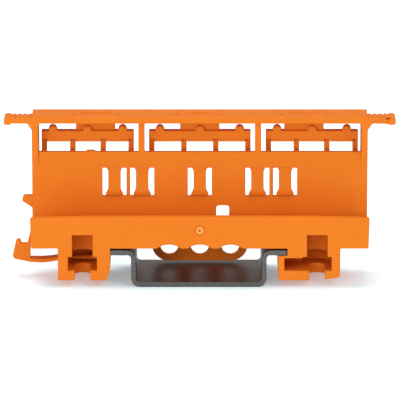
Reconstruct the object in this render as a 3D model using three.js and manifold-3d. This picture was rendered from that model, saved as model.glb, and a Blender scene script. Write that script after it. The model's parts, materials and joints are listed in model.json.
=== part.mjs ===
import * as THREE from "three";
import { mergeVertices } from "three/addons/utils/BufferGeometryUtils.js";
import Module from "manifold-3d";

// Snap-on carrier for splicing connectors, clipped across a short offcut of 35 mm top-hat rail.
// Millimetres, +Z up. Depth Y is written from the carrier's front face while building; the whole
// group is then moved back by half the rail length so the rail is centred on the origin.

// ---- rail: 35 x 7.5 top-hat section -------------------------------------------------------------
const RAIL_LENGTH = 20;
const RAIL_WIDTH = 35;
const RAIL_HAT = 27;
const RAIL_HEIGHT = 7.5;
const RAIL_GAUGE = 1;
const RAIL_BEND_INSIDE = 0.8;
const RAIL_EDGE_RADIUS = 0.15;
const RAIL_SHIFT = -0.2; // the sprung latch draws the rail this far off the middle

// ---- carrier: overall sizes ---------------------------------------------------------------------
const HALF_LENGTH = 33.6; // to the outside of the end walls
const LIP_EXTRA = 0.2; // the front band stands this far past the end walls
const SEAT_GAP = 0.05; // rail seats over the flange
const HOOK_GAP = 0.1; // hooks under the flange
const SIDE_GAP = 0.15; // feet beside the flange edge
const BAND_RISE = 0.36; // underside of the band above the rail
const FLOOR_THICK = 1.2;
const FLOOR_TOP = 11.8;
const LIP_THICK = 1.8;
const LIP_HIGH = 2.5; // above the tray floor
const LIP_CROWN = 0.3;
const TRAY_DEPTH = 8.4; // takes connectors 8.3 mm thick, standing on end
const WALL_THICK = 1.2;
const WALL_TOP = 25.4;
const END_WALL_THICK = 1.3;
const PLATE_UNDERSIDE = 31.4;
const PLATE_THICK = 1.3;
const PLATE_OVERHANG = 1.2; // the top plate stands this far in front of the back wall
const PLATE_DEPTH = 8.2;
const TAB_WIDE = 4.3;
const TAB_REACH = 5.6;
const TAB_RIDGES = [3.5, 2.45, 1.4, 0.35];
const TAB_RIDGE_HIGH = 0.22;
const TOOLING_DEEP = 0.6; // ejector slots in the top plate
const TOOLING_WIDE = 0.75;
const BASE_BACK = 5.4; // base reaches this far behind the back wall
const SKIRT_THICK = 1.4;
const NOTCH_FROM = 3.3; // probe notch at the foot of the back wall
const NOTCH_TO = 5.9;
const NOTCH_HIGH = 2.6;
const GATE_Z = 11.53; // moulding gate on the front band
const GATE_DISH = 1.5;
const GATE_DISH_DEEP = 0.15;
const GATE_RING = 0.8;
const GATE_PIT = 0.32;
const GATE_DEEP = 0.32;

// ---- spring fingers -----------------------------------------------------------------------------
const FINGER_PLACES = [-17.1, -11.55, 0, 11.55, 17.1];
const FINGER_HALF = 1.25;
const FINGER_SLOT = 1.15;
const FINGER_ROOT = 22.1;
const FINGER_TIP = 16.6;
const FINGER_ROOT_GAP = 0.15;
const FINGER_TIP_GAP = 0.25;
const FINGER_RECESS = 0.12; // front of the root behind the front of the wall
const FINGER_BULGE = 0.95;

// ---- cable-tie bars -----------------------------------------------------------------------------
const BAR_SETBACK = 1.6; // front of the bars behind the back wall
const BAR_THICK = 2.3;
const BAR_LOW = 27.4;
const BAR_HIGH = 29.1;
const BAR_LIP = 0.5;
const BUMP_RADIUS = 0.85;
const BUMP_STAND = 0.15;
const WEB_HALF = 3.95;
const WEB_THICK = 1.2;
const WEB_SETBACK = 0.7; // front of the web behind the front of its bar
const BRACKET_DEEP = 1.3;
const BRACKET_HALF = 0.55;
const BRACKET_FOOT = 22.6;
const BARS = [
    { name: "left", from: -31.75, to: -13.24, web: -20.9, bumps: [-29.5, -22.55, -15.5],
      ribs: [-25.5, -19.4] },
    { name: "centre", from: -10.2, to: 10.2, web: 0, bumps: [-8, 0, 8],
      ribs: [-3.2, 3.2] },
    { name: "right", from: 13.24, to: 31.75, web: 20.9, bumps: [15.5, 22.55, 29.5],
      ribs: [19.4, 25.5] },
];
const POST_X = 11.67;
const POST_HALF = 0.625;

// ---- feet, screw slots, tongue ------------------------------------------------------------------
const FOOT_BOTTOM = 1.34;
const SCREW_OUT = 5.9; // screw slots beyond the flange edge
const SCREW_DEEP = 5.5; // middle of the slot's round end
const DRIVER_DEEP = 4.9;
const HEAD_DEEP = 8.5;
const SHANK_HALF = 1.575;
const HEAD_HALF = 2.9;
const DRIVER_HALF = 2.05;
const HEAD_LOW = 3.35;
const HEAD_HIGH = 6.15;
const HOOK_THICK = 0.5;
const LEFT_FOOT_OUT = 10.8; // outer sides of the feet beyond the flange edge
const RIGHT_FOOT_OUT = 10.55;
const HOOK_REACH = 1.75; // the fixed hook goes this far under the flange
const TONGUE_HALF = 9.65;
const TONGUE_BOTTOM = 1.5;
const TONGUE_CORNER = 3.3;
const TONGUE_THICK = 1.5;
const TONGUE_HOLE = 1.87;
const TONGUE_HOLE_Z = 4.59;
const TONGUE_HOLES = [-6.15, 0, 6.15];
const RELIEF_RADIUS = 4.08; // room for the driver, cut in the front band around each hole

// ---- rail latch ---------------------------------------------------------------------------------
const LATCH_AHEAD = 0.7; // front of the latch before the front of the back wall
const LATCH_WIDE = 2.8;
const PRY_WIDE = 1.6; // pry block, its arm and the catch above are thinner than the strip
const LATCH_GAP = 0.3;
const LATCH_REACH = 1.7; // the latch hook goes this far under the flange
const TUNNEL_LOW = 2.35;
const TUNNEL_ROOM = 0.5; // above the hook
const BLOCK_GAP = 0.4; // pry block outside the end wall
const BLOCK_WIDE = 3.6;
const PRY_TIP = 7.5; // top of the block's outer end
const PRY_NOTCH = 6.7; // foot of the screwdriver notch, where the arm joins
const ARM_JOIN_GAP = 0.05;

// ---- values that follow -------------------------------------------------------------------------
const FLANGE_LEFT = RAIL_WIDTH / 2 - RAIL_SHIFT; // both counted outwards from the middle
const FLANGE_RIGHT = RAIL_WIDTH / 2 + RAIL_SHIFT;
const FLANGE_LOW = RAIL_HEIGHT - RAIL_GAUGE;
const BAND_LOW = RAIL_HEIGHT + BAND_RISE;
const FLOOR_LOW = FLOOR_TOP - FLOOR_THICK;
const HOOK_TOP = FLANGE_LOW - HOOK_GAP;
const HOOK_ROOF = HOOK_TOP - HOOK_THICK;
const TUNNEL_HIGH = HOOK_TOP + TUNNEL_ROOM;
const SCREW_X = RAIL_WIDTH / 2 + SCREW_OUT;
const LEFT_FOOT_OUTER = RAIL_WIDTH / 2 + LEFT_FOOT_OUT;
const RIGHT_FOOT_OUTER = RAIL_WIDTH / 2 + RIGHT_FOOT_OUT;
const LIP_TOP = FLOOR_TOP + LIP_HIGH;
const BLOCK_INNER = HALF_LENGTH + BLOCK_GAP;
const WALL_FRONT = LIP_THICK + TRAY_DEPTH;
const WALL_BACK = WALL_FRONT + WALL_THICK;
const BASE_REAR = WALL_BACK + BASE_BACK;
const FOOT_BACK = BASE_REAR - SKIRT_THICK;
const LATCH_FRONT = WALL_FRONT - LATCH_AHEAD;
const PLATE_FRONT = WALL_FRONT - PLATE_OVERHANG;
const PLATE_BACK = PLATE_FRONT + PLATE_DEPTH;
const PLATE_TOP = PLATE_UNDERSIDE + PLATE_THICK;
const END_INNER = HALF_LENGTH - END_WALL_THICK;
const BAR_FRONT = WALL_BACK + BAR_SETBACK;
const BAR_BACK = BAR_FRONT + BAR_THICK;

// ---- solids -------------------------------------------------------------------------------------
const wasm = await Module();
wasm.setup();

function solid(geometry) {
    const bare = geometry.clone();
    bare.deleteAttribute("normal");
    bare.deleteAttribute("uv");
    const merged = mergeVertices(bare, 1e-5);
    const vertProperties = new Float32Array(merged.attributes.position.array);
    const triVerts = new Uint32Array(merged.index.array);
    return new wasm.Manifold(new wasm.Mesh({ numProp: 3, vertProperties, triVerts }));
}

function box(x0, x1, y0, y1, z0, z1) {
    const geometry = new THREE.BoxGeometry(x1 - x0, y1 - y0, z1 - z0);
    geometry.translate((x0 + x1) / 2, (y0 + y1) / 2, (z0 + z1) / 2);
    return solid(geometry);
}

// A closed outline from [a, b, radius] corners; a corner with a radius is rounded.
function outline(corners) {
    const shape = new THREE.Shape();
    const count = corners.length;
    for (let i = 0; i < count; i += 1) {
        const here = new THREE.Vector2(corners[i][0], corners[i][1]);
        const before = new THREE.Vector2(...corners[(i + count - 1) % count].slice(0, 2));
        const after = new THREE.Vector2(...corners[(i + 1) % count].slice(0, 2));
        const radius = corners[i][2] || 0;
        const back = before.clone().sub(here).normalize();
        const on = after.clone().sub(here).normalize();
        const half = Math.acos(THREE.MathUtils.clamp(back.dot(on), -1, 1)) / 2;
        const reach = radius > 0 ? radius / Math.tan(half) : 0;
        const start = here.clone().addScaledVector(back, reach);
        const end = here.clone().addScaledVector(on, reach);
        if (i === 0) {
            shape.moveTo(start.x, start.y);
        } else {
            shape.lineTo(start.x, start.y);
        }
        if (reach > 0) {
            const middle = back.clone().add(on).normalize();
            const centre = here.clone().addScaledVector(middle, radius / Math.sin(half));
            const a0 = Math.atan2(start.y - centre.y, start.x - centre.x);
            const a1 = Math.atan2(end.y - centre.y, end.x - centre.x);
            shape.absarc(centre.x, centre.y, radius, a0, a1, back.cross(on) > 0);
        }
    }
    shape.closePath();
    return shape;
}

function extruded(corners, depth, fine) {
    const options = { depth, bevelEnabled: false, curveSegments: fine, steps: 1 };
    return new THREE.ExtrudeGeometry(outline(corners), options);
}

// Outline in X and Z, drawn along Y.
function alongY(corners, y0, y1, fine = 5) {
    const geometry = extruded(corners, y1 - y0, fine);
    geometry.rotateX(Math.PI / 2);
    geometry.translate(0, y1, 0);
    return solid(geometry);
}

// Outline in Y and Z, drawn along X.
function alongX(corners, x0, x1, fine = 5) {
    const geometry = extruded(corners, x1 - x0, fine);
    const x = new THREE.Vector3(0, 1, 0);
    const y = new THREE.Vector3(0, 0, 1);
    const z = new THREE.Vector3(1, 0, 0);
    geometry.applyMatrix4(new THREE.Matrix4().makeBasis(x, y, z));
    geometry.translate(x0, 0, 0);
    return solid(geometry);
}

function rodY(x, z, radius, y0, y1, sides = 28) {
    const geometry = new THREE.CylinderGeometry(radius, radius, y1 - y0, sides);
    geometry.translate(x, (y0 + y1) / 2, z);
    return solid(geometry);
}

function rodZ(x, y, radius, z0, z1, sides = 24) {
    const geometry = new THREE.CylinderGeometry(radius, radius, z1 - z0, sides);
    geometry.rotateX(Math.PI / 2);
    geometry.translate(x, y, (z0 + z1) / 2);
    return solid(geometry);
}

function ball(x, y, z, radius, around, rings) {
    const geometry = new THREE.SphereGeometry(radius, around, rings);
    geometry.translate(x, y, z);
    return solid(geometry);
}

function joined(parts) {
    return parts.reduce((sum, part) => sum.add(part));
}

function mirrored(part) {
    return part.mirror([1, 0, 0]);
}

// ---- pieces -------------------------------------------------------------------------------------
const ORANGE = 0xee842a;
const ORANGE_DEEP = 0xe07626;
const STEEL = 0x8a8682;
const group = new THREE.Group();
group.position.y = -RAIL_LENGTH / 2;
let placed = null;

// Adds a piece; whatever earlier pieces already fill is left out of it.
function piece(name, shape, color = ORANGE, roughness = 0.42, metalness = 0) {
    const own = placed === null ? shape : shape.subtract(placed);
    placed = placed === null ? shape : placed.add(shape);
    if (own.decompose().length !== 1) {
        throw new Error(name + " is not one body");
    }
    const mesh = own.getMesh();
    const geometry = new THREE.BufferGeometry();
    geometry.setAttribute("position", new THREE.BufferAttribute(mesh.vertProperties, 3));
    geometry.setIndex(new THREE.BufferAttribute(mesh.triVerts, 1));
    geometry.computeVertexNormals();
    const material = new THREE.MeshStandardMaterial({ color, roughness, metalness });
    const made = new THREE.Mesh(geometry, material);
    made.name = name;
    group.add(made);
}

// ---- rail ---------------------------------------------------------------------------------------
const hat = RAIL_HAT / 2;
const hatInner = hat - RAIL_GAUGE;
const bendOutside = RAIL_BEND_INSIDE + RAIL_GAUGE;
const flangeEdge = RAIL_WIDTH / 2;
const railSection = [
    [-hat, 0, bendOutside],
    [hat, 0, bendOutside],
    [hat, FLANGE_LOW, RAIL_BEND_INSIDE],
    [flangeEdge, FLANGE_LOW, RAIL_EDGE_RADIUS],
    [flangeEdge, RAIL_HEIGHT, RAIL_EDGE_RADIUS],
    [hatInner, RAIL_HEIGHT, bendOutside],
    [hatInner, RAIL_GAUGE, RAIL_BEND_INSIDE],
    [-hatInner, RAIL_GAUGE, RAIL_BEND_INSIDE],
    [-hatInner, RAIL_HEIGHT, bendOutside],
    [-flangeEdge, RAIL_HEIGHT, RAIL_EDGE_RADIUS],
    [-flangeEdge, FLANGE_LOW, RAIL_EDGE_RADIUS],
    [-hat, FLANGE_LOW, RAIL_BEND_INSIDE],
];
const rail = alongY(railSection, 0, RAIL_LENGTH, 6).translate([RAIL_SHIFT, 0, 0]);
piece("din_rail", rail, STEEL, 0.45, 0.9);

// ---- screw slots cut up into the feet and the band ----------------------------------------------
function slotBlock(x, half, deep, z0, z1) {
    return box(x - half, x + half, -1, deep, z0, z1).add(rodZ(x, deep, half, z0, z1));
}

function screwSlot(x) {
    const shank = slotBlock(x, SHANK_HALF, SCREW_DEEP, 0, HEAD_LOW + 0.1);
    const head = slotBlock(x, HEAD_HALF, HEAD_DEEP, HEAD_LOW, HEAD_HIGH);
    const driver = slotBlock(x, DRIVER_HALF, DRIVER_DEEP, HEAD_HIGH - 0.1, FLOOR_LOW);
    return joined([shank, head, driver]);
}

const hookTip = FLANGE_RIGHT - HOOK_REACH;
const rightInner = FLANGE_RIGHT + SIDE_GAP;
const leftInner = FLANGE_LEFT + SIDE_GAP;
const headReach = box(hookTip + 1.3, SCREW_X, -1, SCREW_DEEP + HEAD_HALF, HEAD_LOW, HOOK_ROOF);
const screwSlots = joined([screwSlot(-SCREW_X), screwSlot(SCREW_X), headReach]);

// ---- front band with its lip --------------------------------------------------------------------
const lipHalf = HALF_LENGTH + LIP_EXTRA;
const lipEdge = LIP_TOP - LIP_CROWN;
let band = alongY([
    [-lipHalf + 0.2, BAND_LOW, 0.2],
    [lipHalf - 0.2, BAND_LOW, 0.2],
    [lipHalf, lipEdge, 0.4],
    [lipHalf - 8, LIP_TOP - LIP_CROWN * 0.3],
    [lipHalf * 0.4, LIP_TOP],
    [-lipHalf * 0.4, LIP_TOP],
    [-lipHalf + 8, LIP_TOP - LIP_CROWN * 0.3],
    [-lipHalf, lipEdge, 0.4],
], 0, LIP_THICK);
for (const x of TONGUE_HOLES) {
    band = band.subtract(rodY(x, TONGUE_HOLE_Z, RELIEF_RADIUS, -1, LIP_THICK + 1, 40));
}
const dishRadius = (GATE_DISH ** 2 + GATE_DISH_DEEP ** 2) / (2 * GATE_DISH_DEEP);
band = band.subtract(ball(0, GATE_DISH_DEEP - dishRadius, GATE_Z, dishRadius, 24, 60));
band = band.subtract(rodY(0, GATE_Z, GATE_RING + 0.16, -1, GATE_DEEP, 20));
band = band.add(rodY(0, GATE_Z, GATE_RING, 0, 1, 20));
band = band.subtract(rodY(0, GATE_Z, GATE_PIT, -1, 2 * GATE_DEEP, 12));
piece("front_lip", band.subtract(screwSlots));

// ---- tray floor ---------------------------------------------------------------------------------
const floor = box(-HALF_LENGTH, HALF_LENGTH, LIP_THICK, BASE_REAR, FLOOR_LOW, FLOOR_TOP);
const slotFront = WALL_FRONT + 0.2;
const floorSlot = box(NOTCH_FROM, NOTCH_TO, slotFront, BASE_REAR + 1, FLOOR_LOW - 1, FLOOR_TOP + 1);
piece("base_plate", floor.subtract(floorSlot));

// ---- back wall ----------------------------------------------------------------------------------
const windowHalf = FINGER_HALF + FINGER_SLOT;
const windowLow = FINGER_TIP - FINGER_TIP_GAP;
let wall = box(-END_INNER, END_INNER, WALL_FRONT, WALL_BACK, FLOOR_TOP, WALL_TOP);
for (const x of FINGER_PLACES) {
    wall = wall.subtract(box(x - windowHalf, x + windowHalf, 0, WALL_BACK + 1, windowLow, FINGER_ROOT));
}
const notch = [
    [NOTCH_FROM, FLOOR_TOP - 1],
    [NOTCH_TO, FLOOR_TOP - 1],
    [NOTCH_TO, FLOOR_TOP + NOTCH_HIGH, 0.55],
    [NOTCH_FROM, FLOOR_TOP + NOTCH_HIGH, 0.55],
];
wall = wall.subtract(alongY(notch, WALL_FRONT - 1, WALL_BACK + 1));
wall = wall.add(box(-22.65, -20.95, WALL_FRONT + 0.3, WALL_BACK, WALL_TOP - 0.5, WALL_TOP + 0.28));
piece("back_wall", wall);

// ---- end walls, each with a front rib that fades into the back wall --------------------------------
function endWall() {
    const ribEnd = FINGER_ROOT + 0.2;
    return alongX([
        [WALL_FRONT, FLOOR_TOP],
        [BASE_REAR, FLOOR_TOP],
        [PLATE_BACK, FLOOR_TOP + 5],
        [PLATE_BACK, PLATE_UNDERSIDE],
        [PLATE_FRONT, PLATE_UNDERSIDE],
        [PLATE_FRONT + 0.25, PLATE_UNDERSIDE - 4.5],
        [WALL_FRONT, ribEnd],
    ], END_INNER, HALF_LENGTH);
}
piece("left_end_wall", mirrored(endWall()));
piece("right_end_wall", endWall());

// ---- posts between the three windows ------------------------------------------------------------
for (const [name, x] of [["window_post_left", -POST_X], ["window_post_right", POST_X]]) {
    piece(name, box(x - POST_HALF, x + POST_HALF, WALL_FRONT, WALL_BACK, WALL_TOP, PLATE_UNDERSIDE));
}

// ---- top plate with shallow tooling slots ---------------------------------------------------------
let plate = box(-HALF_LENGTH, HALF_LENGTH, PLATE_FRONT, PLATE_BACK, PLATE_UNDERSIDE, PLATE_TOP);
function toolingSlot(x, half, setback) {
    const front = PLATE_FRONT + setback;
    return box(x - half, x + half, front, front + TOOLING_WIDE, PLATE_TOP - TOOLING_DEEP, PLATE_TOP + 1);
}
for (const bar of BARS) {
    plate = plate.subtract(toolingSlot(bar.web - 4.6, 0.55, 3));
    plate = plate.subtract(toolingSlot(bar.web + 4.6, 0.55, 3));
    plate = plate.subtract(toolingSlot(bar.web, 2.9, 4));
}
piece("top_plate", plate);

// ---- grip tabs for cable ties -------------------------------------------------------------------
function gripTab() {
    const valley = PLATE_TOP - TAB_RIDGE_HIGH;
    const knob = HALF_LENGTH + TAB_REACH;
    const profile = [
        [HALF_LENGTH, PLATE_UNDERSIDE - 1.3],
        [HALF_LENGTH + 0.9, PLATE_UNDERSIDE, 0.6],
        [knob - 1.6, PLATE_UNDERSIDE],
        [knob - 1.35, PLATE_UNDERSIDE - 0.25, 0.2],
        [knob - 0.1, PLATE_UNDERSIDE - 0.25, 0.3],
        [knob, PLATE_UNDERSIDE + 0.7, 0.5],
        [knob - 0.3, PLATE_TOP + 0.05, 0.35],
        [knob - 1.3, PLATE_TOP + 0.05, 0.3],
        [knob - 1.6, valley],
    ];
    for (const at of TAB_RIDGES) {
        profile.push([HALF_LENGTH + at + 0.32, valley]);
        profile.push([HALF_LENGTH + at + 0.15, PLATE_TOP]);
        profile.push([HALF_LENGTH + at - 0.15, PLATE_TOP]);
        profile.push([HALF_LENGTH + at - 0.32, valley]);
    }
    profile.push([HALF_LENGTH, valley]);
    return alongY(profile, PLATE_FRONT, PLATE_FRONT + TAB_WIDE, 4);
}
const grooveTo = HALF_LENGTH + TAB_REACH - 1.5;
const groove = [[grooveTo - 0.4, PLATE_UNDERSIDE + 0.2], [grooveTo, PLATE_UNDERSIDE + 0.2]];
groove.push([grooveTo, PLATE_TOP - 0.35], [grooveTo - 0.4, PLATE_TOP - 0.35]);
piece("left_grip_tab", mirrored(gripTab()));
piece("right_grip_tab", gripTab().subtract(alongY(groove, PLATE_FRONT - 1, PLATE_FRONT + 0.3)));

// ---- cable-tie bars: bar, bumps and the brackets that carry them ----------------------------------
function tieBar(bar) {
    const parts = [box(bar.from, bar.to, BAR_FRONT, BAR_BACK, BAR_LOW, BAR_HIGH)];
    const bumpMiddle = BAR_HIGH + BUMP_STAND;
    for (const x of bar.bumps) {
        parts.push(rodY(x, bumpMiddle, BUMP_RADIUS, BAR_FRONT, BAR_BACK, 20));
        parts.push(box(x - BUMP_RADIUS, x + BUMP_RADIUS, BAR_FRONT, BAR_BACK, BAR_LOW + 0.3, bumpMiddle));
    }
    const ribs = [bar.from + BRACKET_HALF, ...bar.ribs, bar.to - BRACKET_HALF];
    ribs.forEach((x, i) => {
        const bracket = [
            [WALL_BACK, BRACKET_FOOT],
            [BAR_BACK, BAR_LOW - 1.6],
            [BAR_BACK, BAR_LOW + 0.2],
            [BAR_BACK - BRACKET_DEEP, BAR_LOW + 0.2],
            [BAR_BACK - BRACKET_DEEP, WALL_TOP],
            [WALL_BACK, WALL_TOP],
        ];
        parts.push(alongX(bracket, x - BRACKET_HALF, x + BRACKET_HALF));
        if (i > 0) {
            const from = ribs[i - 1] + BRACKET_HALF;
            const to = x - BRACKET_HALF;
            parts.push(box(from, to, BAR_FRONT, BAR_FRONT + 0.8, BAR_LOW - BAR_LIP, BAR_LOW + 0.1));
        }
    });
    return joined(parts);
}
for (const bar of BARS) {
    piece("tie_bar_" + bar.name, tieBar(bar));
    const front = BAR_FRONT + WEB_SETBACK;
    const back = front + WEB_THICK;
    const low = BAR_HIGH - 0.2;
    const web = box(bar.web - WEB_HALF, bar.web + WEB_HALF, front, back, low, PLATE_UNDERSIDE);
    piece("tie_web_" + bar.name, web, ORANGE_DEEP);
}

// ---- feet ---------------------------------------------------------------------------------------
const latchBack = LATCH_FRONT + LATCH_WIDE;
const tunnelFront = LATCH_FRONT - LATCH_GAP;
const tunnelBack = latchBack + LATCH_GAP;
const tunnelTo = -leftInner + 1;
const tunnel = box(-LEFT_FOOT_OUTER - 1, tunnelTo, tunnelFront, tunnelBack, TUNNEL_LOW, TUNNEL_HIGH);
const leftFoot = alongY([
    [-LEFT_FOOT_OUTER, FOOT_BOTTOM, 0.3],
    [-leftInner - 0.8, FOOT_BOTTOM, 0.3],
    [-leftInner, FOOT_BOTTOM + 2.36, 0.6],
    [-leftInner, FLOOR_LOW],
    [-LEFT_FOOT_OUTER, FLOOR_LOW],
], 0, FOOT_BACK);
piece("left_foot", leftFoot.subtract(screwSlots).subtract(tunnel));

const rightFoot = alongY([
    [hookTip + 0.12, FOOT_BOTTOM, 0.5],
    [SCREW_X + SHANK_HALF - 0.3, FOOT_BOTTOM],
    [SCREW_X + SHANK_HALF, FOOT_BOTTOM + 0.2],
    [RIGHT_FOOT_OUTER - 0.12, FOOT_BOTTOM + 0.66, 0.35],
    [RIGHT_FOOT_OUTER, FLOOR_LOW],
    [rightInner, FLOOR_LOW],
    [rightInner, HOOK_TOP],
    [hookTip, HOOK_TOP, 0.2],
], 0, FOOT_BACK);
piece("right_foot", rightFoot.subtract(screwSlots));

// ---- screw tongue -------------------------------------------------------------------------------
let tongue = alongY([
    [-TONGUE_HALF, TONGUE_BOTTOM, TONGUE_CORNER],
    [TONGUE_HALF, TONGUE_BOTTOM, TONGUE_CORNER],
    [TONGUE_HALF, FLOOR_LOW],
    [-TONGUE_HALF, FLOOR_LOW],
], BASE_REAR, BASE_REAR + TONGUE_THICK, 8);
for (const x of TONGUE_HOLES) {
    const hole = rodY(x, TONGUE_HOLE_Z, TONGUE_HOLE, BASE_REAR - 1, BASE_REAR + TONGUE_THICK + 1);
    tongue = tongue.subtract(hole);
}
piece("screw_tongue", tongue);

// ---- skirt and seats under the floor --------------------------------------------------------------
const skirtLow = TONGUE_HOLE_Z + RELIEF_RADIUS;
const rearSkirt = box(-HALF_LENGTH, HALF_LENGTH, BASE_REAR - SKIRT_THICK, BASE_REAR, skirtLow, FLOOR_LOW);
piece("rear_skirt", rearSkirt, ORANGE_DEEP);
const endSkirt = box(END_INNER, HALF_LENGTH, LIP_THICK, BASE_REAR, BAND_LOW, FLOOR_LOW);
piece("left_end_skirt", mirrored(endSkirt), ORANGE_DEEP);
piece("right_end_skirt", endSkirt, ORANGE_DEEP);
for (const [name, side] of [["rail_seat_left", -1], ["rail_seat_right", 1]]) {
    const middle = side * (RAIL_WIDTH / 2 - 1.5);
    const back = BASE_REAR - SKIRT_THICK;
    const low = RAIL_HEIGHT + SEAT_GAP;
    piece(name, box(middle - 0.8, middle + 0.8, LIP_THICK, back, low, FLOOR_LOW), ORANGE_DEEP);
}

// ---- catch for the screwdriver blade --------------------------------------------------------------
piece("pry_fulcrum", alongY([
    [-HALF_LENGTH, 13.9],
    [-HALF_LENGTH, 16.4],
    [-HALF_LENGTH - 1.8, 16.4, 0.5],
    [-HALF_LENGTH - 2.1, 15.3, 0.45],
], LATCH_FRONT + 0.9, LATCH_FRONT + 0.9 + PRY_WIDE));

// ---- rail latch: pry block, strip and hook, and the arm it hangs from -----------------------------
const blockOuter = BLOCK_INNER + BLOCK_WIDE;
const pryBack = LATCH_FRONT + PRY_WIDE;
piece("latch_spring_arm", alongY([
    [-HALF_LENGTH, 8.9],
    [-HALF_LENGTH, 10.4],
    [-HALF_LENGTH - 0.55, 8.6],
    [-BLOCK_INNER - 0.65, PRY_NOTCH + ARM_JOIN_GAP],
    [-BLOCK_INNER, PRY_NOTCH + ARM_JOIN_GAP],
], LATCH_FRONT, pryBack));
piece("latch_pry_block", alongY([
    [-blockOuter + 0.75, PRY_TIP, 0.35],
    [-blockOuter, 4.2, 0.8],
    [-blockOuter + 0.35, 3.55, 0.4],
    [-BLOCK_INNER, 2.9],
    [-BLOCK_INNER, PRY_NOTCH],
    [-BLOCK_INNER - 1.8, PRY_NOTCH, 0.4],
    [-BLOCK_INNER - 2.1, PRY_TIP, 0.2],
], LATCH_FRONT, pryBack));

const latchTip = FLANGE_LEFT - LATCH_REACH;
piece("latch_hook_strip", alongY([
    [-BLOCK_INNER, 2.9],
    [-BLOCK_INNER + 2.3, 2.76],
    [-BLOCK_INNER + 4.2, 2.98],
    [-BLOCK_INNER + 6, 3.34],
    [-BLOCK_INNER + 9, 3.45],
    [-latchTip - 3.2, 3.45],
    [-latchTip - 2, 4.55],
    [-latchTip, 4.85, 0.4],
    [-latchTip, HOOK_TOP, 0.25],
    [-latchTip - 1.9, HOOK_TOP, 0.25],
    [-latchTip - 3.2, 4.35, 0.5],
    [-BLOCK_INNER + 9, 4.2],
    [-BLOCK_INNER + 6, 4.05],
    [-BLOCK_INNER + 4.2, 3.75],
    [-BLOCK_INNER + 2.3, 3.6],
    [-BLOCK_INNER, 3.66],
], LATCH_FRONT, latchBack));

// ---- spring fingers -----------------------------------------------------------------------------
const fingerRoot = WALL_FRONT + FINGER_RECESS;
const fingerNose = WALL_FRONT - FINGER_BULGE;
const fingerTop = FINGER_ROOT - FINGER_ROOT_GAP;
const fingerSide = [
    [WALL_BACK, fingerTop],
    [fingerRoot, fingerTop],
    [fingerRoot + 0.13, fingerTop - 1.5, 3],
    [fingerNose, FINGER_TIP + 0.9, 0.9],
    [fingerNose + 0.25, FINGER_TIP, 0.3],
    [fingerNose + 1.15, FINGER_TIP, 0.3],
    [fingerNose + 1, FINGER_TIP + 1.2, 0.8],
    [WALL_BACK - 0.15, fingerTop - 2.6, 3],
];
// Half width of a finger at each distance below its root: filleted root, plain stem, flared tip.
const fingerHalves = [
    [0, FINGER_HALF + 0.37],
    [0.12, FINGER_HALF + 0.2],
    [0.35, FINGER_HALF + 0.06],
    [0.75, FINGER_HALF],
    [3.85, FINGER_HALF],
    [4.3, FINGER_HALF + 0.13],
    [4.8, FINGER_HALF + 0.4],
    [5.05, FINGER_HALF + 0.5],
    [6, FINGER_HALF + 0.53],
];
for (let i = 0; i < FINGER_PLACES.length; i += 1) {
    const x = FINGER_PLACES[i];
    const right = fingerHalves.map(([down, half]) => [x + half, fingerTop - down]);
    const left = fingerHalves.map(([down, half]) => [x - half, fingerTop - down]).reverse();
    const face = alongY([...right.reverse(), ...left.reverse()], fingerNose - 1, WALL_BACK + 1);
    const slab = alongX(fingerSide, x - 3, x + 3, 4);
    piece("spring_finger_" + (i + 1), slab.intersect(face), ORANGE_DEEP);
}

export default group;
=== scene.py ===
# %% [markdown]
# # A rail-mounted carrier for splicing connectors
# The object is one orange moulding snapped across a short piece of steel top-hat rail. Its measured
# shape already exists as a frame of solids, so this notebook only has to dress that frame: join the
# solids into the skins a moulding tool would leave, round their edges, and give them their finishes.
# Loading the frame comes first, because every later place is read from it.

# %% Load the frame
import bmesh
import bpy
import json
import math
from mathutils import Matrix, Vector
from mathutils.bvhtree import BVHTree
from mathutils.kdtree import KDTree


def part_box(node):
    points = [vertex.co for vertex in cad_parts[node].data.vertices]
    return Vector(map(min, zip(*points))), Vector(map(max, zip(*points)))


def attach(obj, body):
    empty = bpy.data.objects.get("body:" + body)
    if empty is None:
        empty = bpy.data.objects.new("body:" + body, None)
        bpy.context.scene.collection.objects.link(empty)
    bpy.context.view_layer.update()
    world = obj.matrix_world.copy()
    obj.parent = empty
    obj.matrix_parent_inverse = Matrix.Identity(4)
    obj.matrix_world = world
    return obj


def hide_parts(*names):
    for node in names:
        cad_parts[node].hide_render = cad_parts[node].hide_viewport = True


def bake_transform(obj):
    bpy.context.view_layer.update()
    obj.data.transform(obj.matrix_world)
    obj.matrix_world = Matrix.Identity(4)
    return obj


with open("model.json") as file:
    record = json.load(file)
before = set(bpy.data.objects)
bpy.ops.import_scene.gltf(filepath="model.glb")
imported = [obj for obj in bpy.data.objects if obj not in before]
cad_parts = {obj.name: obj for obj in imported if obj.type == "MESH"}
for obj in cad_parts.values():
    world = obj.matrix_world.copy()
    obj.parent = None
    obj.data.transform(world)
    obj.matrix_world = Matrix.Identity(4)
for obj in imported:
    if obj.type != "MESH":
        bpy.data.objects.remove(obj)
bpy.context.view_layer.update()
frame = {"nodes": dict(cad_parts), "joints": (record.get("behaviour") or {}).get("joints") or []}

MM = 0.001

# %% [markdown]
# ## Camera
# A catalogue picture of a small part is taken from far away with a long lens, so that parallel edges
# stay parallel. A wide lens close up would be easier to light, but it would splay the two end walls.
# The camera stands a little over a metre away and looks down by about a seventh of a right angle.

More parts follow.
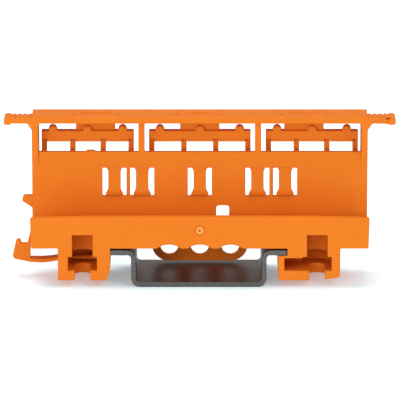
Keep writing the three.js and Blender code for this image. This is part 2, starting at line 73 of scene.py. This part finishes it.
# %% Place the camera
CAMERA_DISTANCE = 1.1
CAMERA_DOWN = math.radians(12.6)
FRAME_WIDTH = 80.15 * MM
SENSOR = 36.0
NEAREST = 0.05
aim = Vector((0.04 * MM, -1.0 * MM, 15.8 * MM))
away = Vector((0, -math.cos(CAMERA_DOWN), math.sin(CAMERA_DOWN)))
camera_data = bpy.data.cameras.new("long_lens")
camera_data.sensor_width = SENSOR
camera_data.lens = SENSOR * CAMERA_DISTANCE / FRAME_WIDTH
camera_data.clip_start = NEAREST
camera = bpy.data.objects.new("camera", camera_data)
bpy.context.scene.collection.objects.link(camera)
camera.location = aim + away * CAMERA_DISTANCE
camera.rotation_euler = (-away).to_track_quat("-Z", "Y").to_euler()
bpy.context.scene.camera = camera
print("lens", round(camera_data.lens), "mm")

# %% [markdown]
# ## Light and floor
# White card and large soft lamps give the even light of a catalogue table. A small lamp would throw
# hard shadows through the windows of the moulding. The strongest lamp hangs overhead and one stands in
# front. A low lamp on the left reaches under the moulding, to the screw tongue and into the rail, and
# the weakest hangs to the right. The card is slightly blue and glows faintly, to balance the orange
# light that the moulding throws on it.

# %% Floor, world and lamps
CARD_SIZE = 3.0
CARD_COLOUR = (0.8, 0.93, 0.97, 1)
GLOW_COLOUR = (0.82, 0.92, 1, 1)
GLOW = 0.29
SKY = 0.5
LAMP_TARGET = Vector((0, 0, 15 * MM))


def floor_card():
    card = bmesh.new()
    bmesh.ops.create_grid(card, x_segments=2, y_segments=2, size=CARD_SIZE)
    mesh = bpy.data.meshes.new("floor")
    card.to_mesh(mesh)
    card.free()
    made = bpy.data.objects.new("floor", mesh)
    bpy.context.scene.collection.objects.link(made)
    finish = bpy.data.materials.new("white card")
    finish.use_nodes = True
    shader = finish.node_tree.nodes["Principled BSDF"]
    shader.inputs["Base Color"].default_value = CARD_COLOUR
    shader.inputs["Roughness"].default_value = 0.9
    shader.inputs["Specular IOR Level"].default_value = 0.0
    shader.inputs["Emission Color"].default_value = GLOW_COLOUR
    shader.inputs["Emission Strength"].default_value = GLOW
    mesh.materials.append(finish)
    return made


def soft_lamp(name, place, size, power):
    data = bpy.data.lights.new(name, "AREA")
    data.shape = "DISK"
    data.size = size
    data.energy = power
    lamp = bpy.data.objects.new(name, data)
    bpy.context.scene.collection.objects.link(lamp)
    lamp.location = place
    lamp.rotation_euler = (LAMP_TARGET - Vector(place)).to_track_quat("-Z", "Y").to_euler()
    return lamp


floor_card()
world = bpy.data.worlds.new("studio")
bpy.context.scene.world = world
world.use_nodes = True
sky = world.node_tree.nodes["Background"]
sky.inputs["Color"].default_value = (1, 1, 1, 1)
sky.inputs["Strength"].default_value = SKY
soft_lamp("right_lamp", place=(0.45, -0.6, 0.75), size=0.5, power=1.5)
soft_lamp("front_lamp", place=(-0.1, -1.2, 0.45), size=0.8, power=3.0)
soft_lamp("low_lamp", place=(-0.5, -1.0, 0.2), size=0.34, power=2.9)
soft_lamp("top_lamp", place=(-0.1, 0.15, 0.9), size=0.7, power=4.8)
bpy.context.scene.view_settings.view_transform = "Standard"

# %% [markdown]
# ## Orange polyamide
# The moulding is dyed right through, so its colour hardly changes, but a real one is never flat: the
# tool leaves a fine spark-eroded grain, and the melt flows leave clouds of slightly paler and slightly
# shinier plastic. Three noises at their own scales do that, one for colour, one for gloss and one for
# the grain. They read the piece's own coordinates, so the pattern stays put when a piece moves.
#
# The sprue was broken off in the middle of the lip. The light that catches the ring it leaves is painted
# there as a paler round mark, a painted highlight.

# %% Orange plastic
NOISE_LOW = 0.3
NOISE_HIGH = 0.7
ORANGE_DEEP = (0.715, 0.171, 0.0128)
ORANGE_PALE = (0.75, 0.185, 0.0155)
# Colour of the painted highlight on the sprue ring.
GATE_HIGHLIGHT = (0.9, 0.36, 0.07, 1)
GATE_HEIGHT = 11.53 * MM
GATE_RING = 0.8 * MM
RING_OUTSIDE = 1.12
RING_INSIDE = 0.95


def mix_colour(nodes, links, factor, low, high):
    ramp = nodes.new("ShaderNodeValToRGB")
    ramp.color_ramp.elements[0].position = NOISE_LOW
    ramp.color_ramp.elements[0].color = (*low, 1)
    ramp.color_ramp.elements[1].position = NOISE_HIGH
    ramp.color_ramp.elements[1].color = (*high, 1)
    links.new(factor, ramp.inputs["Fac"])
    return ramp.outputs["Color"]


def noise(nodes, links, coords, scale, detail):
    made = nodes.new("ShaderNodeTexNoise")
    made.inputs["Scale"].default_value = scale
    made.inputs["Detail"].default_value = detail
    links.new(coords, made.inputs["Vector"])
    return made.outputs["Fac"]


def ranged(nodes, links, value, low, high):
    made = nodes.new("ShaderNodeMapRange")
    made.inputs["From Min"].default_value = NOISE_LOW
    made.inputs["From Max"].default_value = NOISE_HIGH
    made.inputs["To Min"].default_value = low
    made.inputs["To Max"].default_value = high
    links.new(value, made.inputs["Value"])
    return made.outputs["Result"]


def orange_plastic(name, low, high):
    finish = bpy.data.materials.new(name)
    finish.use_nodes = True
    nodes, links = finish.node_tree.nodes, finish.node_tree.links
    shader = nodes["Principled BSDF"]
    coords = nodes.new("ShaderNodeTexCoord").outputs["Object"]
    clouds = noise(nodes, links, coords, scale=90.0, detail=3.0)
    links.new(mix_colour(nodes, links, clouds, low, high), shader.inputs["Base Color"])
    sheen_clouds = noise(nodes, links, coords, scale=240.0, detail=2.0)
    gloss = ranged(nodes, links, sheen_clouds, low=0.5, high=0.62)
    links.new(gloss, shader.inputs["Roughness"])
    grain = nodes.new("ShaderNodeBump")
    grain.inputs["Strength"].default_value = 0.25
    grain.inputs["Distance"].default_value = 0.012 * MM
    sparks = noise(nodes, links, coords, scale=9000.0, detail=2.0)
    links.new(sparks, grain.inputs["Height"])
    links.new(grain.outputs["Normal"], shader.inputs["Normal"])
    shader.inputs["IOR"].default_value = 1.5
    shader.inputs["Specular IOR Level"].default_value = 0.05
    shader.inputs["Subsurface Weight"].default_value = 0.08
    shader.inputs["Subsurface Radius"].default_value = (1.0, 0.3, 0.1)
    shader.inputs["Subsurface Scale"].default_value = 0.6 * MM
    return finish


def paint_gate_highlight(finish, place, radius):
    """Paints a paler disc where the sprue was broken off, standing in for the light that catches its
    ring: a painted highlight.
    """
    nodes, links = finish.node_tree.nodes, finish.node_tree.links
    base = nodes["Principled BSDF"].inputs["Base Color"]
    away = nodes.new("ShaderNodeVectorMath")
    away.operation = "DISTANCE"
    away.inputs[1].default_value = place
    links.new(nodes.new("ShaderNodeTexCoord").outputs["Object"], away.inputs[0])
    near = nodes.new("ShaderNodeMapRange")
    near.inputs["From Min"].default_value = RING_OUTSIDE * radius
    near.inputs["From Max"].default_value = RING_INSIDE * radius
    links.new(away.outputs["Value"], near.inputs["Value"])
    lit_ring = nodes.new("ShaderNodeMix")
    lit_ring.data_type = "RGBA"
    lit_ring.inputs["B"].default_value = GATE_HIGHLIGHT
    links.new(near.outputs["Result"], lit_ring.inputs["Factor"])
    links.new(base.links[0].from_socket, lit_ring.inputs["A"])
    links.new(lit_ring.outputs["Result"], base)


lip_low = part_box("front_lip")[0]
orange = orange_plastic("orange polyamide", ORANGE_DEEP, ORANGE_PALE)
# Painted highlight: a paler disc where light catches the sprue ring on the lip.
paint_gate_highlight(orange, (0, lip_low.y, GATE_HEIGHT), GATE_RING)
print("made", orange.name)

# %% [markdown]
# ## Zinc-plated strip steel
# The rail is rolled from strip and chromated, which leaves a dull, slightly brown grey with faint
# streaks along the rolling direction, here the rail's own length. The sawn end is bare steel, which is
# greyer. One material tells the two apart by which way a face looks, so the rail can stay a single skin.

# %% Rail steel
SKIN_DARK = (0.115, 0.08, 0.066)
SKIN_LIGHT = (0.175, 0.126, 0.106)
CUT_DARK = (0.078, 0.075, 0.068)
CUT_LIGHT = (0.134, 0.13, 0.12)
STREAK_STRETCH = (1.0, 0.04, 1.0)
FACING_SKIN = 0.55
FACING_CUT = 0.85


def rail_steel():
    finish = bpy.data.materials.new("chromated strip steel")
    finish.use_nodes = True
    nodes, links = finish.node_tree.nodes, finish.node_tree.links
    shader = nodes["Principled BSDF"]
    coords = nodes.new("ShaderNodeTexCoord")
    stretch = nodes.new("ShaderNodeMapping")
    stretch.inputs["Scale"].default_value = STREAK_STRETCH
    links.new(coords.outputs["Object"], stretch.inputs["Vector"])
    streaks = noise(nodes, links, stretch.outputs["Vector"], scale=2600.0, detail=4.0)
    clouds = noise(nodes, links, coords.outputs["Object"], scale=170.0, detail=4.0)
    both = nodes.new("ShaderNodeMath")
    both.operation = "MULTIPLY_ADD"
    both.inputs[1].default_value = 0.5
    links.new(streaks, both.inputs[0])
    half = nodes.new("ShaderNodeMath")
    half.operation = "MULTIPLY"
    half.inputs[1].default_value = 0.5
    links.new(clouds, half.inputs[0])
    links.new(half.outputs["Value"], both.inputs[2])
    skin = mix_colour(nodes, links, both.outputs["Value"], SKIN_DARK, SKIN_LIGHT)
    cut = mix_colour(nodes, links, streaks, CUT_DARK, CUT_LIGHT)
    parts = nodes.new("ShaderNodeSeparateXYZ")
    links.new(coords.outputs["Normal"], parts.inputs["Vector"])
    facing = nodes.new("ShaderNodeMath")
    facing.operation = "ABSOLUTE"
    links.new(parts.outputs["Y"], facing.inputs[0])
    is_cut = nodes.new("ShaderNodeMapRange")
    is_cut.inputs["From Min"].default_value = FACING_SKIN
    is_cut.inputs["From Max"].default_value = FACING_CUT
    links.new(facing.outputs["Value"], is_cut.inputs["Value"])
    colour = nodes.new("ShaderNodeMix")
    colour.data_type = "RGBA"
    links.new(is_cut.outputs["Result"], colour.inputs["Factor"])
    links.new(skin, colour.inputs["A"])
    links.new(cut, colour.inputs["B"])
    links.new(colour.outputs["Result"], shader.inputs["Base Color"])
    gloss = ranged(nodes, links, clouds, low=0.34, high=0.44)
    links.new(gloss, shader.inputs["Roughness"])
    grain = nodes.new("ShaderNodeBump")
    grain.inputs["Strength"].default_value = 0.08
    grain.inputs["Distance"].default_value = 0.01 * MM
    links.new(streaks, grain.inputs["Height"])
    links.new(grain.outputs["Normal"], shader.inputs["Normal"])
    shader.inputs["Metallic"].default_value = 0.9
    return finish


steel = rail_steel()
print("made", steel.name)

# %% [markdown]
# ## Joining solids into skins
# The frame's solids meet face to face, as blocks do, but a moulding has one skin with no joints in it.
# A boolean union removes the faces between them. Its flat faces come out in many triangles, so they
# are dissolved back into whole faces before the edges are rounded. Sculpting or voxel remeshing would
# also close the joints, but would soften the crisp slots and windows.
#
# A whole face with holes in it has to be drawn as one outline that runs in to each hole and back out.
# After rounding, such an outline may cross itself and show as a black sliver. So those faces are first
# parted by straight cuts through the holes, which leaves far simpler outlines.
#
# The rounding is bmesh's own bevel. Where two slots lie closer than two roundings, a bevel throws
# corners off the surface, so the edges round such a corner are left crisp and the bevel is made again.
# Where it squeezed an edge to nothing, the two ends are merged. Shading is given corner by corner, so
# that flats stay flat and only the rounding turns the light.

# %% Copies and unions
WELD = 0.008 * MM
COLLAPSED = 0.0003 * MM
FLAT = math.radians(0.6)
SHARP = math.radians(28)
TURNED = math.radians(60)
SHORTEST = 0.02 * MM
STRAY = 0.75
TRIES = 8


def merged_copy(node, name):
    mesh = frame["nodes"][node].data.copy()
    mesh.name = name
    skin = bmesh.new()
    skin.from_mesh(mesh)
    bmesh.ops.remove_doubles(skin, verts=skin.verts, dist=WELD)
    skin.to_mesh(mesh)
    skin.free()
    made = bpy.data.objects.new(name, mesh)
    bpy.context.scene.collection.objects.link(made)
    return made


def union(name, nodes):
    first = merged_copy(nodes[0], name)
    others = bpy.data.collections.new(name + "_parts")
    extra = [merged_copy(node, name + "_" + node) for node in nodes[1:]]
    for part in extra:
        bpy.context.scene.collection.objects.unlink(part)
        others.objects.link(part)
    if extra:
        join = first.modifiers.new("join", "BOOLEAN")
        join.operation = "UNION"
        join.solver = "EXACT"
        join.operand_type = "COLLECTION"
        join.collection = others
        bpy.context.view_layer.update()
        seen = first.evaluated_get(bpy.context.evaluated_depsgraph_get())
        joined = bpy.data.meshes.new_from_object(seen)
        first.modifiers.clear()
        first.data = joined
    for part in extra:
        bpy.data.objects.remove(part)
    bpy.data.collections.remove(others)
    return first


def clean_flats(made, cuts=()):
    """Makes whole faces of the flats, and parts those that have holes in them at the given X places."""
    skin = bmesh.new()
    skin.from_mesh(made.data)
    bmesh.ops.remove_doubles(skin, verts=skin.verts, dist=WELD)
    for place in cuts:
        whole = [*skin.verts, *skin.edges, *skin.faces]
        cut = bmesh.ops.bisect_plane(
            skin, geom=whole, dist=WELD / 2, plane_co=(place, 0, 0), plane_no=(1, 0, 0))
        for part in cut["geom_cut"]:
            if isinstance(part, bmesh.types.BMEdge):
                part.seam = True
    bmesh.ops.dissolve_limit(
        skin, angle_limit=FLAT, verts=skin.verts, edges=skin.edges, delimit={"SEAM"})
    open_edges = sum(1 for edge in skin.edges if not edge.is_manifold)
    skin.to_mesh(made.data)
    skin.free()
    print(made.name, len(made.data.polygons), "faces,", open_edges, "open edges")
    return made


def roundable(edge):
    """A sharp edge with room beside it for a rounding."""
    crisp = edge.is_manifold and edge.calc_face_angle(0.0) > SHARP
    near = [other for end in edge.verts for other in end.link_edges]
    return crisp and min(other.calc_length() for other in near) > SHORTEST


def stray_roots(skin, rest, width):
    """Places where a crossed rounding has thrown a corner off the surface."""
    landed = {vertex: rest.find_nearest(vertex.co) for vertex in skin.verts}
    far = {vertex for vertex, hit in landed.items() if hit[3] > STRAY * width}
    roots = [landed[vertex][0] for vertex in far]
    for vertex in far:
        roots.extend(edge.other_vert(vertex).co.copy() for edge in vertex.link_edges)
    return roots


def corner_normal(loop, bent):
    """Flats keep their own direction up to the rounding, and the rounding turns between them."""
    own = loop.face.normal
    flats = [face for face in loop.vert.link_faces if face not in bent]
    least = math.cos(TURNED if loop.face in bent else SHARP)
    total = Vector()
    for face in flats:
        if face.normal.dot(own) > least:
            total += face.normal * face.calc_area()
    if total.length == 0.0 and not flats:
        for face in loop.vert.link_faces:
            total += face.normal * face.calc_area()
    return total.normalized() if total.length > 0.0 else own.copy()


def rounded(made, width, segments=3):
    """Rounds the sharp edges, then leaves an edge crisp wherever its rounding would cross another."""
    skin = bmesh.new()
    skin.from_mesh(made.data)
    rest = BVHTree.FromBMesh(skin)
    corners = KDTree(len(skin.verts))
    for vertex in skin.verts:
        corners.insert(vertex.co, vertex.index)
    corners.balance()
    chosen = {edge.index for edge in skin.edges if roundable(edge)}
    marked = len(chosen)
    for attempt in range(TRIES):
        soft = skin.copy()
        soft.edges.ensure_lookup_table()
        edges = [soft.edges[index] for index in chosen]
        bevelled = bmesh.ops.bevel(
            soft, geom=edges, offset=width, offset_type="OFFSET", segments=segments, profile=0.5,
            affect="EDGES", material=-1, clamp_overlap=False)
        roots = stray_roots(soft, rest, width)
        if not roots:
            break
        bad = {corners.find(root)[1] for root in roots}
        chosen -= {edge.index for edge in skin.edges if bad & {end.index for end in edge.verts}}
        if attempt < TRIES - 1:
            soft.free()
    bmesh.ops.remove_doubles(soft, verts=soft.verts, dist=COLLAPSED)
    bent = {face for face in bevelled["faces"] if face.is_valid}
    open_edges = sum(1 for edge in soft.edges if not edge.is_manifold)
    soft.normal_update()
    for face in soft.faces:
        face.smooth = True
    normals = [corner_normal(loop, bent) for face in soft.faces for loop in face.loops]
    soft.to_mesh(made.data)
    made.data.normals_split_custom_set(normals)
    soft.free()
    skin.free()
    print(made.name, "rounded", len(chosen), "of", marked, "sharp edges,", len(roots), "strays,",
          open_edges, "open edges")
    return made


def dressed(made, finish):
    made.data.materials.clear()
    made.data.materials.append(finish)
    return made


# %% [markdown]
# ## The moulding
# Lip, floor, walls, top plate, feet and tongue leave the tool as one piece, so their solids are joined.
# The pieces that bend in use, the five fingers and the latch, are kept apart, because they have to
# move on their own.

# %% Join the carrier
MOULDING = [
    "base_plate", "front_lip", "back_wall", "left_end_wall", "right_end_wall", "window_post_left",
    "window_post_right", "top_plate", "left_grip_tab", "right_grip_tab", "left_foot", "right_foot",
    "screw_tongue", "rear_skirt", "left_end_skirt", "right_end_skirt", "rail_seat_left",
    "rail_seat_right", "pry_fulcrum",
]
TOOLING_SLOTS = [-4.8 * MM, -0.6 * MM, 4.8 * MM]
SCREW_SLOT = 23.4 * MM
FINGERS = 5
MOULDING_ROUND = 0.14 * MM


def middle(node):
    low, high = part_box(node)
    return (low.x + high.x) / 2


windows = [middle("spring_finger_%d" % number) for number in range(1, FINGERS + 1)]
webs = [middle("tie_web_" + place) for place in ["left", "centre", "right"]]
tooling = [web + side for web in webs for side in TOOLING_SLOTS]
cuts = sorted({*windows, *tooling, -SCREW_SLOT, SCREW_SLOT})
carrier = clean_flats(union("carrier_moulding", MOULDING), cuts)
rounded(carrier, MOULDING_ROUND)
dressed(carrier, orange)
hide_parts(*MOULDING)
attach(carrier, "carrier")

# %% [markdown]
# ## Cable-tie bars
# Each window holds a bar that hangs from the top plate on a web and stands on small brackets. Bars and
# webs are joined in the same way, one skin for each window.

# %% Join the bars
BAR_ROUND = 0.12 * MM
for place in ["left", "centre", "right"]:
    nodes = ["tie_bar_" + place, "tie_web_" + place]
    bar = clean_flats(union("tie_frame_" + place, nodes))
    rounded(bar, BAR_ROUND, segments=2)
    dressed(bar, orange)
    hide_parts(*nodes)
    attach(bar, "carrier")

# %% [markdown]
# ## Spring fingers
# A finger is a tongue of the back wall, free at its lower end. The frame leaves a hair's width between
# its root and the wall so that it can turn there. Here the root is drawn up into the wall.

# %% Fingers
ROOT_LAP = 0.3 * MM
FINGER_ROUND = 0.1 * MM
AT_END = 0.01 * MM
for joint in frame["joints"]:
    if not joint["child"].startswith("finger_"):
        continue
    number = joint["child"].split("_")[1]
    node = "spring_finger_" + number
    finger = clean_flats(merged_copy(node, "finger_skin_" + number))
    low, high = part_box(node)
    for vertex in finger.data.vertices:
        if vertex.co.z > high.z - AT_END:
            vertex.co.z += ROOT_LAP
    rounded(finger, FINGER_ROUND, segments=2)
    dressed(finger, orange)
    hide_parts(node)
    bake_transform(finger)

# %% [markdown]
# ## Rail latch
# The pry block and the hook strip are one stiff piece; the thin arm above them is the spring. The
# arm's lower end is drawn down a little, into the latch.

# %% Latch and its arm
LATCH = ["latch_pry_block", "latch_hook_strip"]
ARM_LAP = 0.15 * MM
latch = clean_flats(union("rail_latch", LATCH))
rounded(latch, MOULDING_ROUND)
dressed(latch, orange)
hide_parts(*LATCH)
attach(latch, "latch")

arm = clean_flats(merged_copy("latch_spring_arm", "latch_arm"))
arm_low, arm_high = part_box("latch_spring_arm")
for vertex in arm.data.vertices:
    if vertex.co.z < arm_low.z + AT_END:
        vertex.co.z -= ARM_LAP
dressed(arm, orange)
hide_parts("latch_spring_arm")
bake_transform(arm)

# %% [markdown]
# ## Rail
# The rail is a rolled section with rounded bends. Its edges and its corners at the cut are broken by a
# fine rounding, as rolling and a file leave them.

# %% Rail
RAIL_ROUND = 0.18 * MM
rail = clean_flats(merged_copy("din_rail", "top_hat_rail"))
rounded(rail, RAIL_ROUND)
dressed(rail, steel)
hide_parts("din_rail")
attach(rail, "rail")
